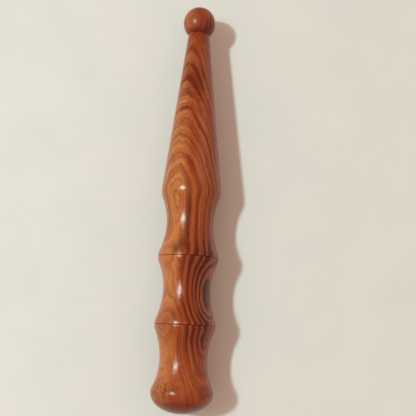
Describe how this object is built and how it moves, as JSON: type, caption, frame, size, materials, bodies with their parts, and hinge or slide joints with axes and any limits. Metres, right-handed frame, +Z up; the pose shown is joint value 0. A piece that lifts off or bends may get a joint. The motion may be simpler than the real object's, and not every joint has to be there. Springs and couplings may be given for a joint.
{
  "type": "turned wooden hand stick",
  "caption": "Turned hardwood hand stick with a waisted grip between round swells, a domed butt, a long tapered shank and a small ball at its tip.",
  "frame": {"origin": "on the table under the middle of the stick, which lies on its side", "axes": "+Y along the stick's axis from the butt to the ball, +Z up"},
  "size_m": [0.0304, 0.2054, 0.0303],
  "materials": {
    "turned_wood": "clear gloss over reddish brown striped hardwood",
    "dowel_wood": "bare pale hardwood"
  },
  "bodies": {
    "root": {"butt_grip": "turned_wood", "middle_grip": "turned_wood", "tapered_shank": "turned_wood", "ball_tip": "turned_wood", "lower_grip_dowel": "dowel_wood", "upper_grip_dowel": "dowel_wood", "ball_dowel": "dowel_wood"}
  },
  "joints": []
}
